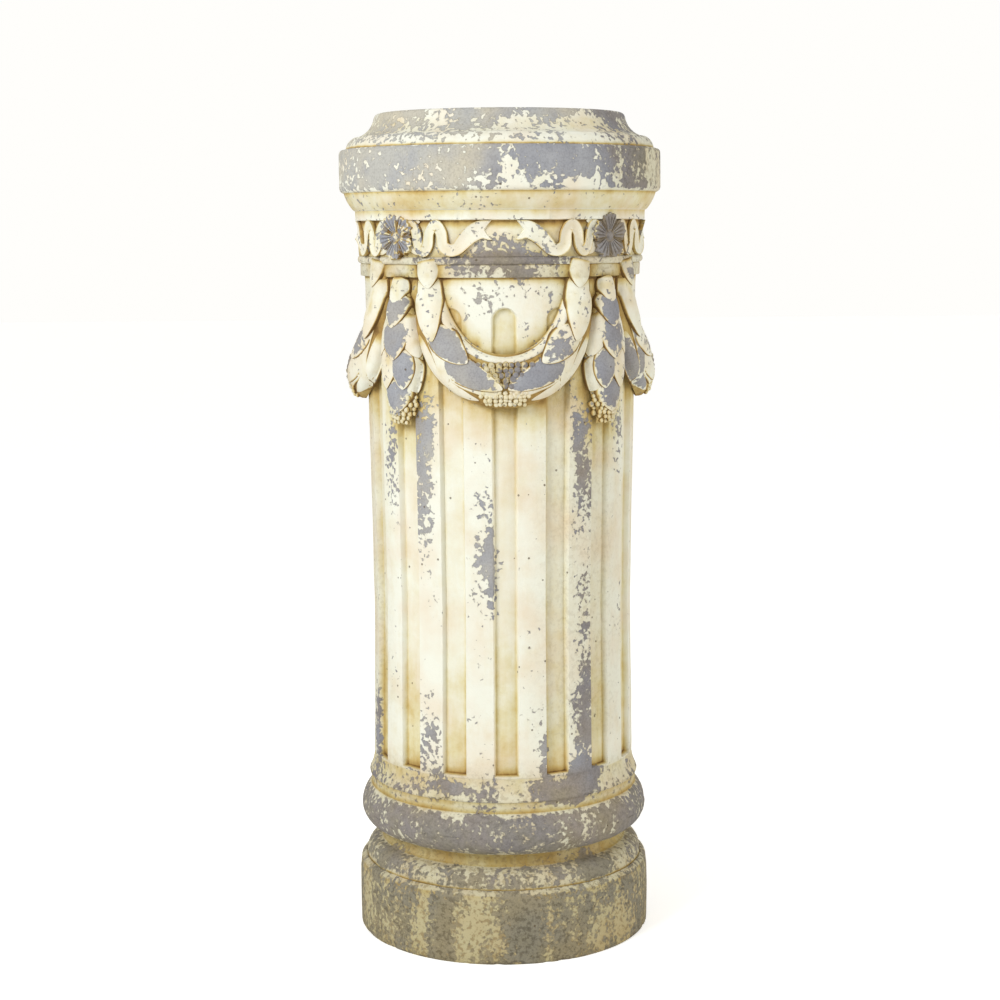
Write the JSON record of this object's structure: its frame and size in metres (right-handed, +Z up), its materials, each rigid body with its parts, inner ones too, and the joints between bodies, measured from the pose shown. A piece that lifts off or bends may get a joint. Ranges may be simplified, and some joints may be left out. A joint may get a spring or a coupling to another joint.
{
  "type": "fluted pedestal column",
  "caption": "Round cast pedestal column with a fluted shaft, moulded base, and a head with leaf garlands, drops, rosettes and ribbons under a broad abacus.",
  "frame": {"origin": "centre of the underside of the plinth", "axes": "+Z up along the column's axis, -Y toward the front garland"},
  "size_m": [0.3234, 0.3234, 0.83],
  "materials": {
    "painted_cast": "matte"
  },
  "bodies": {
    "root": {"column": "painted_cast"}
  },
  "joints": []
}
